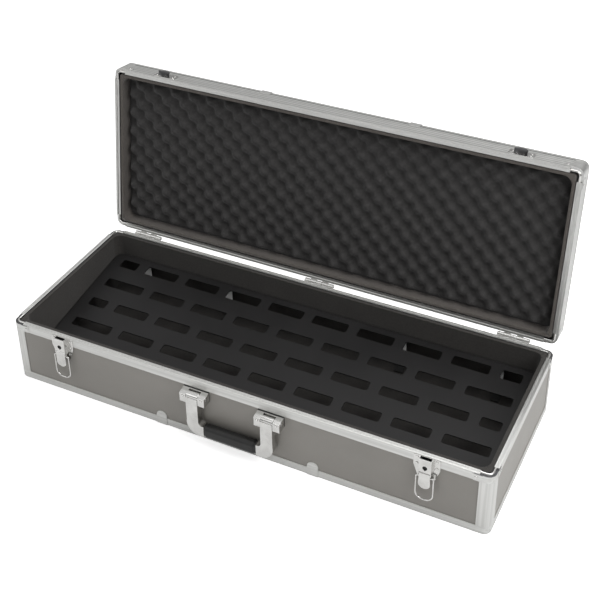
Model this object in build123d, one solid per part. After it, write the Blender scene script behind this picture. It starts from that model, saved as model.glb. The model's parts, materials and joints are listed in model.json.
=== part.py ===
from build123d import *
import os
from math import cos, radians, sin, tan

# A shallow lidded case for effect pedals: a panelled base with a slotted, tilted board, a lid lined
# with convoluted foam, three hinges, two bail latches with locks and a carrying handle.
# Millimetres. X is the length, the front faces -Y, Z is up, and the base rests on Z = 0.
# The lid is modelled shut and then turned open about its hinge line.

os.makedirs("parts", exist_ok=True)

# --- driving dimensions -------------------------------------------------------------------------
case_length = 870.0
case_depth = 320.0
base_height = 121.0
lid_depth = 40.0
rim_gap = 1.0
corner_radius = 13.0
lid_open_angle = 98.0

panel_thickness = 5.6
skin = 1.2
corner_leg = 22.5

# base edge rails
rim_flange_drop = 15.5
rim_web_width = 8.0
rim_web_thickness = 1.5
rim_inner_leg = 10.0
rim_groove_start = 2.9
rim_groove_width = 2.2
rim_groove_depth = 1.0
rail_flange = 14.5
rail_under = 18.0
post_stop = 13.0
panel_end_clearance = 0.2

# corner caps on both rims
cap_shoulder_drop = 2.5
bead_radius = 2.2
bead_inset = 5.8
tab_start = 18.0
tab_end = 34.0
tab_thickness = 0.8
tab_height = 13.0
tab_corner = 4.0
cutter_overshoot = 1.0

# lining
liner_gap = 1.3
liner_thickness = 5.5
liner_corner = 15.0
liner_outer_corner = 4.0
liner_below_rim = 1.3
lid_liner_lift = 0.5
corner_ease = 1.0
floor_liner_thickness = 3.0

# pedal board
board_tilt = 8.0
board_sheet = 2.0
board_front_gap = 19.82
board_rear_gap = 0.27
board_centre_z = 62.0
board_side_gap = 0.7
board_skirt = 12.0
board_edge_radius = 4.0
slot_length = 67.5
slot_width = 20.2
slot_corner = 4.0
slot_pitch = 87.5
slot_rows = 5
slot_end_margin = 23.5
slot_edge_margin = 26.3
shortest_slot = 25.0
leg_width = 15.0
leg_thickness = 3.0
leg_flange = 18.0
leg_edge_inset = 5.5
leg_outer_inset = 84.0
leg_inner_x = 174.0

# lid
lid_wall = 1.5
lid_web_width = 9.5
lid_web_thickness = 1.5
lid_inner_leg = 10.0
lid_shelf_width = 14.0
lid_edge_width = 18.0
lid_edge_groove = 0.6
lid_cap_height = 14.0
rib_pitch = 4.2
rib_groove = 0.9
rib_depth = 0.3
rib_first = 5.0
rib_count = 6
tongue_width = 1.4
tongue_height = 1.4

# foam in the lid
foam_thickness = 24.5
foam_side_gap = 0.3

# hinges
hinge_setback = 5.0
hinge_width = 56.0
hinge_end_inset = 73.0
hinge_knuckles = 5
knuckle_radius = 3.5
hinge_pin_radius = 1.5
hinge_leaf = 1.5
hinge_leaf_height = 26.0
leaf_overlap = 0.6
running_clearance = 0.05
knuckle_gap = 0.3
pin_head_radius = 2.3
pin_head = 0.8

# latches, with heights as drops below the rim
latch_end_inset = 104.0
latch_plate_width = 43.0
latch_plate_foot_width = 26.0
latch_plate_drop = 1.0
latch_plate_height = 44.0
latch_shoulder_height = 20.0
plate_corner = 3.0
plate = 1.2
latch_box_width = 20.5
latch_box_rise = 0.6
latch_box_height = 25.2
latch_box_depth = 10.0
lock_drop = 15.5
lock_radius = 4.6
lock_sleeve = 1.2
lock_recess = 0.3
keyhole_radius = 3.9
keyhole_point = 5.7
keyhole_spread = 20.0
key_slot_width = 1.2
key_slot_length = 4.6
key_slot_depth = 3.0
lever_axis_drop = 27.8
lever_knuckle_radius = 2.0
lever_pin_radius = 1.0
lever_width = 17.8
lever_wide = 19.4
lever_neck_length = 4.2
lever_length = 29.4
lever_cheek_start = 3.2
lever_cheek_length = 9.5
lever_cheek_depth = 5.5
lever_cheek_corner = 2.0
ear_clearance = 0.25
bail_axis_drop = 7.2
bail_axis_setback = 0.5
bail_wire_radius = 1.4
bail_width = 31.0
bail_corner = 12.5
bail_bend = 2.2
bail_hook_gap = 0.3

# lid strikes, with heights above the lid's rim
strike_rise = 1.0
strike_height = 18.0
catch_rise = 3.0
catch_height = 6.0
catch_depth = 9.3
catch_lip = 1.3

# carrying handle
bracket_x = 68.0
bracket_width = 46.5
bracket_drop = 2.2
bracket_height = 19.5
bracket_plate = 2.5
bracket_corner = 2.0
gasket_thickness = 1.2
gasket_rise = 1.8
gasket_border = 0.3
handle_standoff = 10.0
handle_axis_drop = 6.3
fork_depth = 15.0
fork_fall = 2.7
fork_corner = 2.0
arm_width = 21.5
arm_depth = 14.0
arm_boss_radius = 6.9
arm_front = 8.6
arm_side_clearance = 0.3
arm_elbow_rise = 17.0
arm_elbow_cut = 8.64
arm_low_drop = 15.5
arm_heel = 1.5
arm_throat = 8.0
arm_throat_cut = 1.9
handle_pin_radius = 2.5
handle_pin_end = 0.5
grip_height = 24.0
grip_depth = 17.0
grip_standoff = 12.0
grip_axis_z = 33.0
grip_half_length = 48.0
grip_corner = 7.0
cuff_height = 21.0
cuff_depth = 14.6
cuff_length = 4.0
cuff_corner = 6.0

# edge clips
clip_x = 140.5
clip_width = 20.0
clip_height = 28.0
clip_sheet = 1.2
clip_joggle = 2.5
clip_over = 14.0
clip_bend = 1.08
floor_clearance = 0.2

# rivets
rivet_radius = 2.4
rivet_height = 1.0
rivet_crown = 0.7
plate_rivet_inset = 4.0
shoulder_rivet_rise = 3.0
strike_rivet_inset = 5.0
hinge_rivet_shift = 2.0

# --- values worked out from them -----------------------------------------------------------------
half_length = case_length / 2
half_depth = case_depth / 2
rim_flange_bottom = base_height - rim_flange_drop
wall_inner = skin + panel_thickness
inner_leg_depth = rim_web_width - skin
floor_top = skin + panel_thickness
floor_liner_top = floor_top + floor_liner_thickness
panel_top = base_height - 2 * bead_radius
panel_end = post_stop + skin + panel_end_clearance
liner_outer = rim_web_width + liner_gap
liner_inner = liner_outer + liner_thickness
liner_top = base_height - liner_below_rim
lid_bottom = base_height + rim_gap
lid_top = lid_bottom + lid_depth
lid_panel_top = lid_top - skin
lid_panel_bottom = lid_panel_top - panel_thickness
lid_shelf_bottom = lid_panel_bottom - lid_web_thickness
lid_liner_outer = lid_web_width + lid_wall
lid_liner_inner = lid_liner_outer + liner_thickness
front_face = -half_depth
rear_face = half_depth
panel_face = front_face + skin
hinge_y = rear_face + hinge_setback
hinge_z = base_height + rim_gap / 2
hinge_spacing = half_length - hinge_end_inset

latch_x = half_length - latch_end_inset
latch_plate_top = base_height - latch_plate_drop
latch_plate_shoulder = latch_plate_top - latch_shoulder_height
latch_plate_bottom = latch_plate_top - latch_plate_height
latch_box_top = base_height + latch_box_rise
latch_box_bottom = latch_box_top - latch_box_height
lock_z = base_height - lock_drop
lever_axis_y = front_face - latch_box_depth + lever_knuckle_radius
lever_axis_z = base_height - lever_axis_drop
bail_axis_y = lever_axis_y + bail_axis_setback
bail_axis_z = lever_axis_z - bail_axis_drop
bail_leg_x = bail_width / 2 - bail_wire_radius
strike_bottom = lid_bottom + strike_rise
strike_top = strike_bottom + strike_height
catch_bottom = lid_bottom + catch_rise
catch_top = catch_bottom + catch_height
catch_width = 2 * (bail_leg_x - bail_wire_radius - bail_hook_gap)
catch_corner = bail_corner - bail_wire_radius - bail_hook_gap
bail_reach = catch_top + bail_hook_gap + bail_wire_radius - bail_axis_z

bracket_back = panel_face - gasket_thickness
bracket_face = bracket_back - bracket_plate
bracket_front = bracket_face - fork_depth
bracket_top = rim_flange_bottom - bracket_drop
bracket_bottom = bracket_top - bracket_height
handle_axis_y = front_face - handle_standoff
handle_axis_z = bracket_top - handle_axis_drop
grip_axis_y = front_face - grip_standoff

tilt = radians(board_tilt)
board_length = case_length - 2 * (liner_inner + board_side_gap)
board_front = front_face + liner_inner + board_front_gap
board_rear = rear_face - liner_inner - board_rear_gap - (board_skirt + board_sheet) * sin(tilt)
board_depth = (board_rear - board_front) / cos(tilt)
board_centre_y = (board_rear + board_front) / 2
board_corner = liner_corner + corner_ease
board_place = Pos(0, board_centre_y, board_centre_z) * Rot(board_tilt, 0, 0)
slot_row_end = board_length / 2 - slot_end_margin
slot_row_pitch = (board_depth - 2 * slot_edge_margin) / (slot_rows - 1)
leg_outer_x = half_length - leg_outer_inset
tall = 4 * (base_height + lid_depth)


def block(x_span, y_span, z_span):
    """A box between two values on each axis."""
    centre = Pos(sum(x_span) / 2, sum(y_span) / 2, sum(z_span) / 2)
    sizes = [max(span) - min(span) for span in (x_span, y_span, z_span)]
    return centre * Box(*sizes)


def rod(radius, length, at, axis="X"):
    """A round rod centred on a point, along one axis."""
    turn = {"X": Rot(0, 90, 0), "Y": Rot(90, 0, 0), "Z": Rot(0, 0, 0)}[axis]
    return Pos(*at) * turn * Cylinder(radius, length)


def strip(d_span, z_span):
    """A rectangle of a wall section: depth in from the outer face, and height."""
    centre = Pos(sum(d_span) / 2, sum(z_span) / 2)
    return centre * Rectangle(max(d_span) - min(d_span), max(z_span) - min(z_span))


def section_plane(offset, start):
    """The plane of a wall section at the front: local x runs inward, local y runs up."""
    return Plane(origin=(start, -offset, 0), x_dir=(0, 1, 0), z_dir=(1, 0, 0))


side_turn = {"front": 0, "right": 90, "rear": 180, "left": 270}


def along_wall(section, side, end_gap):
    """Run a wall section along one side, stopping end_gap short of each outer corner."""
    long_side = side in ("front", "rear")
    offset = half_depth if long_side else half_length
    run = (case_length if long_side else case_depth) - 2 * end_gap
    return Rot(0, 0, side_turn[side]) * extrude(section_plane(offset, -run / 2) * section, run)


def round_corner(section, leg=corner_leg):
    """A wall section turned through one corner, with a straight leg on each side of the turn."""
    within = Pos(corner_radius / 2, 0) * Rectangle(corner_radius, tall)
    turned = section_plane(corner_radius, 0) * (section & within)
    turn = revolve(turned, Axis.Z, 90)
    reach = leg - corner_radius
    leg_section = section_plane(corner_radius, -reach) * section
    front_leg = extrude(leg_section, reach)
    side_leg = Rot(0, 0, 90) * Pos(reach, 0, 0) * front_leg
    return turn + front_leg + side_leg


def at_corners(piece):
    """Copies of a front right corner piece at all four corners."""
    x = half_length - corner_radius
    y = half_depth - corner_radius
    places = [(x, -y, 0), (x, y, 90), (-x, y, 180), (-x, -y, 270)]
    return [Pos(px, py, 0) * Rot(0, 0, turn) * piece for px, py, turn in places]


def rivet_on_front(x, z, y):
    """A domed rivet head standing on a face that looks to the front."""
    head = Pos(0, 0, rivet_height / 2) * Cylinder(rivet_radius, rivet_height)
    head = fillet(head.edges().sort_by(Axis.Z)[-1], rivet_crown)
    return Pos(x, y, z) * Rot(90, 0, 0) * head


def turned_to(side, piece):
    """Turn a piece that was made on the front to another side, about the vertical."""
    return Rot(0, 0, side_turn[side]) * piece


def save(name, shape):
    """Write one node, a single solid or a group of separate ones."""
    pieces = shape if isinstance(shape, list) else [shape]
    solids = [solid for piece in pieces for solid in piece.solids()]
    node = solids[0] if len(solids) == 1 else Compound(children=solids)
    export_step(node, f"parts/{name}.step")


# --- base -----------------------------------------------------------------------------------------
def bottom_panel():
    """The floor: let in round its edge so that its underside is flush with the rails."""
    upper = extrude(
        RectangleRounded(case_length - 2 * skin, case_depth - 2 * skin, corner_radius - skin),
        floor_top - skin,
    )
    inset = rail_under + panel_end_clearance / 2
    lower = block(
        (-half_length + inset, half_length - inset), (-half_depth + inset, half_depth - inset), (0, skin)
    )
    return Pos(0, 0, skin) * upper + lower


def wall_panel():
    """The section of a wall panel, standing on the floor."""
    return strip((skin, wall_inner), (floor_top, panel_top))


def rim_section():
    """The rim rail: a flange outside, a grooved web on top and a short leg inside."""
    flange = strip((0, skin), (rim_flange_bottom, base_height))
    web = strip((0, rim_web_width), (base_height - rim_web_thickness, base_height))
    leg = strip((inner_leg_depth, rim_web_width), (base_height - rim_inner_leg, base_height))
    groove = strip(
        (rim_groove_start, rim_groove_start + rim_groove_width),
        (base_height - rim_groove_depth, base_height + cutter_overshoot),
    )
    return flange + web + leg - groove


def bottom_rail_section():
    """The bottom rail: a flange up the wall and a wider one let into the underside."""
    return strip((0, skin), (0, rail_flange)) + strip((0, rail_under), (0, skin))


def post():
    """A corner post: a rounded skin, an inner angle and two webs that stop the panels."""
    height = rim_flange_bottom - rail_flange
    outer = Circle(corner_radius) - Circle(corner_radius - skin)
    quarter = outer & (Pos(corner_radius, -corner_radius) * Rectangle(2 * corner_radius, 2 * corner_radius))
    depth_y = -corner_radius
    reach = corner_leg - corner_radius
    front_flange = Pos(-reach / 2, depth_y + skin / 2) * Rectangle(reach, skin)
    inner = rim_web_width - skin / 2
    inner_run = corner_leg - wall_inner
    inner_leg = Pos(corner_radius - wall_inner - inner_run / 2, depth_y + inner) * Rectangle(inner_run, skin)
    web_x = corner_radius - post_stop - skin / 2
    web = Pos(web_x, depth_y + rim_web_width / 2) * Rectangle(skin, rim_web_width)
    half = front_flange + inner_leg + web
    other = mirror(half, Plane(origin=(0, 0, 0), z_dir=(1, 1, 0)))
    return Pos(0, 0, rail_flange) * extrude(quarter + half + other, height)


def cap_section(rim_z, direction, height):
    """A rim corner cap: an outer skin, a dropped shoulder and a round bead along its inner edge."""
    shoulder = rim_z + direction * cap_shoulder_drop
    skin_part = strip((0, skin), (shoulder, rim_z + direction * height))
    web = strip((0, rim_web_width), (shoulder, shoulder + direction * skin))
    bead = Pos(bead_inset, rim_z + direction * bead_radius) * Circle(bead_radius)
    foot = strip(
        (bead_inset - bead_radius, bead_inset + bead_radius),
        (rim_z + direction * bead_radius, shoulder + direction * skin),
    )
    return skin_part + web + bead + foot


def cap_tab(z_low):
    """A riveted tab that laps over the end of the rim rail next to a corner cap."""
    x_span = (corner_radius - tab_end, corner_radius - tab_start)
    tab = block(x_span, (-corner_radius - tab_thickness, -corner_radius), (z_low, z_low + tab_height))
    far_edges = tab.edges().filter_by(Axis.Y).group_by(Axis.X)[0]
    tab = fillet(far_edges, tab_corner)
    partner = Rot(0, 0, 90) * mirror(tab, Plane.YZ)
    return tab, partner


def rim_cap(rim_z, direction, height):
    """One whole rim corner cap with its two tabs."""
    centre = rim_z + direction * (cap_shoulder_drop + tab_height / 2)
    tab, partner = cap_tab(centre - tab_height / 2)
    return round_corner(cap_section(rim_z, direction, height)) + tab + partner


def liner_ring(outer, inner, z_span):
    """The lining between two wall depths, with rounded inner corners."""
    outside = RectangleRounded(case_length - 2 * outer, case_depth - 2 * outer, liner_outer_corner)
    inside = RectangleRounded(case_length - 2 * inner, case_depth - 2 * inner, liner_corner)
    return Pos(0, 0, z_span[0]) * extrude(outside - inside, z_span[1] - z_span[0])


def mitred(ring, side):
    """The part of a lining ring that belongs to one side, cut at 45 degrees at its ends."""
    ridge = half_length - half_depth
    if side in ("front", "rear"):
        points = [(-half_length, -half_depth), (half_length, -half_depth), (ridge, 0), (-ridge, 0)]
    else:
        points = [(half_length, -half_depth), (half_length, half_depth), (ridge, 0)]
    wedge = make_face(Polyline(*points, close=True))
    flip = 180 if side in ("rear", "left") else 0
    return ring & (Rot(0, 0, flip) * Pos(0, 0, -tall / 2) * extrude(wedge, tall))


def floor_liner():
    """The lining on the floor, under the wall linings."""
    return block(
        (-half_length + liner_outer, half_length - liner_outer),
        (-half_depth + liner_outer, half_depth - liner_outer),
        (floor_top, floor_liner_top),
    )


def base_clip(x):
    """A clip over the bottom rail: flat on the rail, stepped back onto the panel above it."""
    out = front_face - clip_sheet
    step_top = rail_flange + clip_joggle
    outline = Polyline(
        (out, floor_clearance),
        (out, step_top),
        (out + clip_sheet, step_top + clip_joggle),
        (out + clip_sheet, clip_height),
        (panel_face, clip_height),
        (panel_face, rail_flange),
        (front_face, rail_flange),
        (front_face, floor_clearance),
        close=True,
    )
    body = extrude(Plane.YZ * make_face(outline), clip_width / 2, both=True)
    crown = extrude(
        Plane.XZ * Pos(0, clip_height - clip_width / 2) * (Circle(clip_width / 2)), case_depth, both=True
    )
    lower = block((-clip_width, clip_width), (-case_depth, 0), (0, clip_height - clip_width / 2))
    return Pos(x, 0, 0) * (body & (crown + lower))


# --- hinges ---------------------------------------------------------------------------------------
def knuckles(first):
    """Every second knuckle of a hinge with its bracket back to the wall, bored for the pin."""
    pitch = hinge_width / hinge_knuckles
    bracket_z = (-knuckle_radius, 0) if first == 0 else (0, knuckle_radius)
    pieces = []
    for index in range(first, hinge_knuckles, 2):
        x = -hinge_width / 2 + (index + 0.5) * pitch
        span = (x - (pitch - knuckle_gap) / 2, x + (pitch - knuckle_gap) / 2)
        pieces.append(rod(knuckle_radius, pitch - knuckle_gap, (x, 0, 0)))
        pieces.append(block(span, (-hinge_setback, 0), bracket_z))
    return pieces


def hinge_leaf_solid(first, z_span):
    """One hinge leaf, with its knuckles, about a hinge line at the origin."""
    leaf = block((-hinge_width / 2, hinge_width / 2), (-hinge_setback, -hinge_setback + hinge_leaf), z_span)
    bore = rod(hinge_pin_radius + running_clearance, hinge_width + cutter_overshoot, (0, 0, 0))
    solid = leaf
    for piece in knuckles(first):
        solid = solid + piece
    return solid - bore


def hinge_pin():
    """A hinge pin with a head at each end."""
    pin = rod(hinge_pin_radius, hinge_width, (0, 0, 0))
    for sign in (-1, 1):
        pin = pin + rod(pin_head_radius, pin_head, (sign * (hinge_width + pin_head) / 2, 0, 0))
    return pin


def at_hinges(piece):
    """Copies of a hinge piece on the three hinge places."""
    return [Pos(x, hinge_y, hinge_z) * piece for x in (-hinge_spacing, 0, hinge_spacing)]


# --- latches --------------------------------------------------------------------------------------
def latch_outline():
    """The latch plate seen from the front: square above, tapering to a narrower foot."""
    wide = latch_plate_width / 2
    narrow = latch_plate_foot_width / 2
    points = [
        (-wide, latch_plate_top),
        (wide, latch_plate_top),
        (wide, latch_plate_shoulder),
        (narrow, latch_plate_bottom),
        (-narrow, latch_plate_bottom),
        (-wide, latch_plate_shoulder),
    ]
    face = make_face(Polyline(*points, close=True))
    return fillet(face.vertices(), plate_corner)


def keyhole_outline():
    """The keyhole: round, with a point below."""
    spread = radians(keyhole_spread)
    side_x = keyhole_radius * cos(spread)
    side_y = -keyhole_radius * sin(spread)
    point = make_face(Polyline((-side_x, side_y), (side_x, side_y), (0, -keyhole_point), close=True))
    return Circle(keyhole_radius) + point


def latch_body():
    """The latch plate with its box, lock sleeve, keyhole and the two ears of the lever."""
    back = front_face - plate
    wall_plane = Plane(origin=(0, front_face, 0), z_dir=(0, -1, 0), x_dir=(1, 0, 0))
    sheet = extrude(wall_plane * latch_outline(), plate)
    half = latch_box_width / 2
    out = front_face - latch_box_depth
    box = block((-half, half), (out, back), (latch_box_bottom, latch_box_top))
    room = block(
        (-half + plate, half - plate),
        (out + plate, back),
        (latch_box_bottom + plate, latch_box_top + cutter_overshoot),
    )
    lock_place = Pos(0, (out + plate + back) / 2, lock_z)
    lock_length = latch_box_depth - 2 * plate
    bore_radius = lock_radius + running_clearance
    sleeve = lock_place * rod(bore_radius + lock_sleeve, lock_length, (0, 0, 0), "Y")
    bore = lock_place * rod(bore_radius, lock_length, (0, 0, 0), "Y")
    face_plane = Plane(origin=(0, out + plate, lock_z), z_dir=(0, -1, 0), x_dir=(1, 0, 0))
    opening = extrude(face_plane * keyhole_outline(), plate + cutter_overshoot)
    solid = sheet + (box - room) + sleeve
    ear_inner = lever_width / 2 + ear_clearance
    for sign in (-1, 1):
        span = (sign * ear_inner, sign * half)
        deep = (lever_axis_y - lever_knuckle_radius, back)
        high = (lever_axis_z - lever_knuckle_radius, latch_box_bottom + plate)
        solid = solid + block(span, deep, high)
    pin_hole = rod(lever_pin_radius, latch_box_width + cutter_overshoot, (0, lever_axis_y, lever_axis_z))
    return solid - bore - opening - pin_hole


def lock_cylinder():
    """The lock: a plug with a key slot in its face."""
    out = front_face - latch_box_depth + plate + lock_recess
    back = front_face - plate - lock_recess
    length = back - out
    plug = rod(lock_radius, length, (0, (out + back) / 2, lock_z), "Y")
    slot = block(
        (-key_slot_width / 2, key_slot_width / 2),
        (out - cutter_overshoot, out + key_slot_depth),
        (lock_z - key_slot_length / 2, lock_z + key_slot_length / 2),
    )
    return plug - slot


def lever_outline():
    """The lever seen from the front: a neck, a wider blade and a domed end."""
    neck = lever_width / 2
    wide = lever_wide / 2
    neck_z = lever_axis_z - lever_neck_length
    end_z = lever_axis_z - lever_length
    wide_z = end_z + wide
    sides = Polyline(
        (-wide, wide_z),
        (-neck, neck_z),
        (-neck, lever_axis_z),
        (neck, lever_axis_z),
        (neck, neck_z),
        (wide, wide_z),
    )
    dome = ThreePointArc((wide, wide_z), (0, end_z), (-wide, wide_z))
    return make_face(sides + dome)


def lever():
    """The latch lever: a blade rolled round its pin, with two cheeks that carry the bail."""
    face_y = lever_axis_y - lever_knuckle_radius
    blade_plane = Plane(origin=(0, face_y, 0), z_dir=(0, 1, 0), x_dir=(-1, 0, 0))
    solid = extrude(blade_plane * lever_outline(), plate)
    solid = solid + rod(lever_knuckle_radius, lever_width, (0, lever_axis_y, lever_axis_z))
    cheek_top = lever_axis_z - lever_cheek_start
    cheek_bottom = cheek_top - lever_cheek_length
    for sign in (-1, 1):
        span = (sign * (lever_width / 2 - plate), sign * lever_width / 2)
        cheek = block(span, (face_y, face_y + lever_cheek_depth), (cheek_bottom, cheek_top))
        rear = cheek.edges().filter_by(Axis.X).group_by(Axis.Y)[-1]
        solid = solid + fillet(rear, lever_cheek_corner)
    bore_length = lever_width + cutter_overshoot
    wire_bore = rod(bail_wire_radius + running_clearance, bore_length, (0, bail_axis_y, bail_axis_z))
    pin_bore = rod(lever_pin_radius + running_clearance, bore_length, (0, lever_axis_y, lever_axis_z))
    return solid - wire_bore - pin_bore


def bail():
    """The wire bail: a loop hanging from the lever, its two ends turned in through the cheeks."""
    low = bail_axis_z - bail_reach
    stub = lever_width / 2 - 2 * plate
    points = [
        (-stub, bail_axis_z),
        (-bail_leg_x, bail_axis_z),
        (-bail_leg_x, low),
        (bail_leg_x, low),
        (bail_leg_x, bail_axis_z),
        (stub, bail_axis_z),
    ]
    radii = [bail_bend, bail_corner, bail_corner, bail_bend]
    path = Plane(origin=(0, bail_axis_y, 0), z_dir=(0, -1, 0), x_dir=(1, 0, 0)) * FilletPolyline(
        *points, radius=radii
    )
    start = Plane(origin=path @ 0, z_dir=path % 0)
    return sweep(start * Circle(bail_wire_radius), path=path)


def arched(half_width, top, corner, y_span):
    """An upright piece with rounded upper corners, cut off level at the catch's lower edge."""
    height = 2 * corner + catch_height
    outline = Pos(0, top - height / 2) * RectangleRounded(2 * half_width, height, corner)
    plane = Plane(origin=(0, min(y_span), 0), z_dir=(0, 1, 0), x_dir=(-1, 0, 0))
    piece = extrude(mirror(plane * outline, Plane.YZ), max(y_span) - min(y_span))
    keep = block((-half_width, half_width), y_span, (catch_bottom, top))
    return piece & keep


def strike():
    """The strike on the lid: a plate with a hollow catch and a lip that keeps the bail on."""
    back = front_face - plate
    half = latch_plate_width / 2
    sheet = block((-half, half), (back, front_face), (strike_bottom, strike_top))
    sheet = fillet(sheet.edges().filter_by(Axis.Y), plate_corner)
    out = front_face - catch_depth
    wide = catch_width / 2
    box = arched(wide, catch_top, catch_corner, (out, back))
    room = arched(wide - plate, catch_top - plate, catch_corner - plate, (out + plate, back))
    lip = arched(wide, catch_top + catch_lip, catch_corner, (out - plate, out))
    return sheet + (box - room) + lip


# --- handle ---------------------------------------------------------------------------------------
def fork_profile():
    """One ear of a bracket seen from the side: its top falls a little towards the front."""
    return make_face(
        Polyline(
            (bracket_back, bracket_top),
            (bracket_front, bracket_top - fork_fall),
            (bracket_front, bracket_bottom),
            (bracket_back, bracket_bottom),
            close=True,
        )
    )


def handle_bracket():
    """A handle bracket: a block on the wall, cut open in the middle for the arm."""
    half = bracket_width / 2
    inner = arm_width / 2 + arm_side_clearance
    solid = extrude(Plane.YZ * fork_profile(), half, both=True)
    front_edges = solid.edges().filter_by(Axis.X).group_by(Axis.Y)[0]
    side_edges = solid.edges().filter_by(Axis.Z).group_by(Axis.Y)[0]
    solid = fillet(front_edges + side_edges, fork_corner)
    opening = block(
        (-inner, inner),
        (bracket_front - cutter_overshoot, bracket_face),
        (bracket_bottom - cutter_overshoot, bracket_top + cutter_overshoot),
    )
    hole = rod(handle_pin_radius + running_clearance, bracket_width, (0, handle_axis_y, handle_axis_z))
    return solid - opening - hole


def bracket_gasket():
    """The black gasket between a bracket and the wall, showing as a line above it."""
    half = bracket_width / 2 + gasket_border
    span_z = (bracket_bottom - gasket_border, bracket_top + gasket_rise)
    pad = block((-half, half), (bracket_back, panel_face), span_z)
    return fillet(pad.edges().filter_by(Axis.Y), bracket_corner)


def arm_outline():
    """A handle arm seen from the front, sweeping in to the grip at its elbow."""
    outer = bracket_x + arm_width / 2
    inner = bracket_x - arm_width / 2
    elbow_z = grip_axis_z + arm_elbow_rise
    low_z = grip_axis_z - arm_low_drop
    grip_top = grip_axis_z + cuff_height / 2
    grip_low = grip_axis_z - cuff_height / 2
    throat = (inner, grip_top + arm_throat)
    heel = (grip_half_length + arm_width / 4, grip_low - arm_heel)
    elbow_middle = (outer - arm_elbow_cut, low_z + arm_elbow_cut)
    throat_middle = (inner - arm_throat_cut, grip_top + arm_throat_cut)
    lines = Polyline(throat, (inner, handle_axis_z), (outer, handle_axis_z), (outer, elbow_z))
    lower_arc = ThreePointArc((outer, elbow_z), elbow_middle, heel)
    foot = Polyline(heel, (grip_half_length, grip_low), (grip_half_length, grip_top))
    inner_arc = ThreePointArc((grip_half_length, grip_top), throat_middle, throat)
    return make_face(lines + lower_arc + foot + inner_arc)


def handle_arm():
    """The right handle arm: a flat cast arm with a round boss on the pivot."""
    plane = Plane(origin=(0, handle_axis_y - arm_front, 0), z_dir=(0, 1, 0), x_dir=(-1, 0, 0))
    arm = extrude(mirror(plane * arm_outline(), Plane.YZ), arm_depth)
    boss = rod(arm_boss_radius, arm_width, (bracket_x, handle_axis_y, handle_axis_z))
    keep_low = block((0, case_length), (-case_depth, 0), (-case_depth, handle_axis_z))
    bore_length = arm_width + cutter_overshoot
    hole = rod(handle_pin_radius + running_clearance, bore_length, (bracket_x, handle_axis_y, handle_axis_z))
    return (arm & keep_low) + boss - hole


def handle_grip():
    """The moulded grip between the arms, with a slimmer cuff at each end."""
    centre = (0, grip_axis_y, grip_axis_z)
    plane = Plane(origin=centre, z_dir=(1, 0, 0), x_dir=(0, 1, 0))
    thick = RectangleRounded(grip_depth, grip_height, grip_corner)
    slim = RectangleRounded(cuff_depth, cuff_height, cuff_corner)
    middle = extrude(plane * thick, grip_half_length - cuff_length, both=True)
    return middle + extrude(plane * slim, grip_half_length, both=True)


# --- pedal board ----------------------------------------------------------------------------------
def slot_row(shift, y):
    """One row of slots, shifted sideways; every row ends at the same distance from the middle."""
    half = slot_length / 2
    last = int((slot_row_end - shortest_slot - shift + half) // slot_pitch)
    first = -last if shift == 0 else -last - 1
    slots = []
    for index in range(first, last + 1):
        centre = shift + index * slot_pitch
        low = -slot_row_end if index == first else centre - half
        high = slot_row_end if index == last else centre + half
        slots.append(Pos((low + high) / 2, y) * RectangleRounded(high - low, slot_width, slot_corner))
    return slots


def pedal_board():
    """The board: a sheet with edges bent down all round and staggered rows of slots."""
    height = board_skirt + board_sheet
    outer = extrude(RectangleRounded(board_length, board_depth, board_corner), -height)
    outer = fillet(outer.faces().sort_by(Axis.Z)[-1].edges(), board_edge_radius)
    inner_length = board_length - 2 * board_sheet
    inner_depth = board_depth - 2 * board_sheet
    inner = extrude(RectangleRounded(inner_length, inner_depth, board_corner - board_sheet), -height)
    inner = fillet(inner.faces().sort_by(Axis.Z)[-1].edges(), board_edge_radius - board_sheet)
    shell = outer - Pos(0, 0, -board_sheet) * inner
    slots = []
    for row in range(slot_rows):
        shift = 0 if row % 2 else slot_pitch / 2
        slots += slot_row(shift, ((slot_rows - 1) / 2 - row) * slot_row_pitch)
    cutters = [Pos(0, 0, -2 * board_sheet) * extrude(slot, 3 * board_sheet) for slot in slots]
    return board_place * (shell - cutters)


def board_underside(y):
    """Height of the board's underside at a place from front to rear."""
    return board_centre_z + (y - board_centre_y) * tan(tilt) - board_sheet / cos(tilt)


def board_leg(upright_y, inward):
    """A leg of bent strip: a foot, an upright, and a flange that follows the board's underside."""
    near = upright_y
    far = upright_y + inward * leg_thickness
    end = upright_y + inward * leg_flange
    outline = Polyline(
        (near, floor_liner_top),
        (near, board_underside(near)),
        (end, board_underside(end)),
        (end, board_underside(end) - leg_thickness),
        (far, board_underside(far) - leg_thickness),
        (far, floor_liner_top + leg_thickness),
        (end, floor_liner_top + leg_thickness),
        (end, floor_liner_top),
        close=True,
    )
    return extrude(Plane.YZ * make_face(outline), leg_width / 2, both=True)


def board_legs(upright_y, inward):
    """The four legs of one row."""
    leg = board_leg(upright_y, inward)
    return [Pos(x, 0, 0) * leg for x in (-leg_outer_x, -leg_inner_x, leg_inner_x, leg_outer_x)]


# --- lid ------------------------------------------------------------------------------------------
def opened(pieces):
    """Turn lid pieces from shut to open about the hinge line."""
    pieces = pieces if isinstance(pieces, list) else [pieces]
    turn = Pos(0, hinge_y, hinge_z) * Rot(-lid_open_angle, 0, 0) * Pos(0, -hinge_y, -hinge_z)
    return [turn * piece for piece in pieces]


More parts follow.
